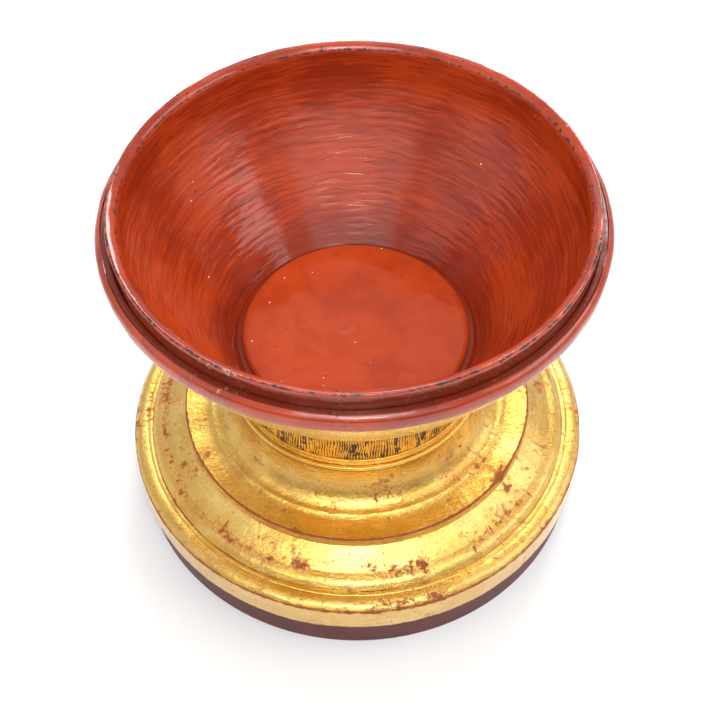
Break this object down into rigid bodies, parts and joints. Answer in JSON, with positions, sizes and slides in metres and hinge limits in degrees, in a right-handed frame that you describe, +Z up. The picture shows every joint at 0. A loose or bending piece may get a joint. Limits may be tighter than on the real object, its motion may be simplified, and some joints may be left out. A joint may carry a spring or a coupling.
{
  "type": "footed bowl",
  "caption": "Footed coiled-bamboo lacquer bowl: red flared interior, upright lip with a ledge for a lid, gilded moulded pedestal and maroon foot hoop.",
  "frame": {"origin": "on the bowl's vertical axis, in the plane that the foot stands on", "axes": "+Z up along the bowl's axis of revolution; X and Y are equal, as the bowl is round"},
  "size_m": [0.3504, 0.3504, 0.289],
  "materials": {
    "red_lacquer": "glossy red lacquer with coil ridges showing through",
    "rim_lacquer": "worn glossy red lacquer, chipped at its edges",
    "seat_lacquer": "dark brown-red lacquer, rubbed",
    "maroon_lacquer": "satin maroon lacquer",
    "dark_lacquer": "matt black-brown lacquer",
    "gold_leaf": "gold leaf over red-brown lacquer, rubbed through in places",
    "gilt_relief": "gold leaf on ribs with black-brown gaps",
    "split_bamboo": "raw split bamboo",
    "board_wood": "sawn board"
  },
  "bodies": {
    "root": {"base_fascia": "gold_leaf", "border_ovolo": "gold_leaf", "bowl_base_board": "board_wood", "bowl_casing": "gold_leaf", "bowl_floor_disc": "red_lacquer", "bowl_hoop_01": "split_bamboo", "bowl_hoop_02": "split_bamboo", "bowl_hoop_03": "split_bamboo", "bowl_hoop_04": "split_bamboo", "bowl_hoop_05": "split_bamboo", "bowl_hoop_06": "split_bamboo", "bowl_hoop_07": "split_bamboo", "bowl_hoop_08": "split_bamboo", "bowl_hoop_09": "split_bamboo", "bowl_hoop_10": "split_bamboo", "bowl_lining": "red_lacquer", "dome_lining": "dark_lacquer", "foot_hoop": "maroon_lacquer", "lid_seat_hoop": "seat_lacquer", "neck_bead": "gold_leaf", "neck_fillet": "gold_leaf", "neck_hoop_01": "split_bamboo", "neck_hoop_02": "split_bamboo", "neck_hoop_03": "split_bamboo", "neck_lining": "dark_lacquer", "pedestal_hoop_01": "split_bamboo", "pedestal_hoop_02": "split_bamboo", "pedestal_hoop_03": "split_bamboo", "pedestal_hoop_04": "split_bamboo", "pedestal_hoop_05": "split_bamboo", "pedestal_hoop_06": "split_bamboo", "pedestal_hoop_07": "split_bamboo", "pedestal_hoop_08": "split_bamboo", "pedestal_hoop_09": "split_bamboo", "pedestal_hoop_10": "split_bamboo", "pedestal_hoop_11": "split_bamboo", "reeded_band": "gilt_relief", "rim_bead_hoop": "rim_lacquer", "rim_lip_hoop": "rim_lacquer", "shadow_fillet": "dark_lacquer", "skirt_lining": "dark_lacquer", "terrace_bead": "gold_leaf", "terrace_moulding": "gold_leaf", "trumpet_moulding": "gold_leaf"}
  },
  "joints": []
}
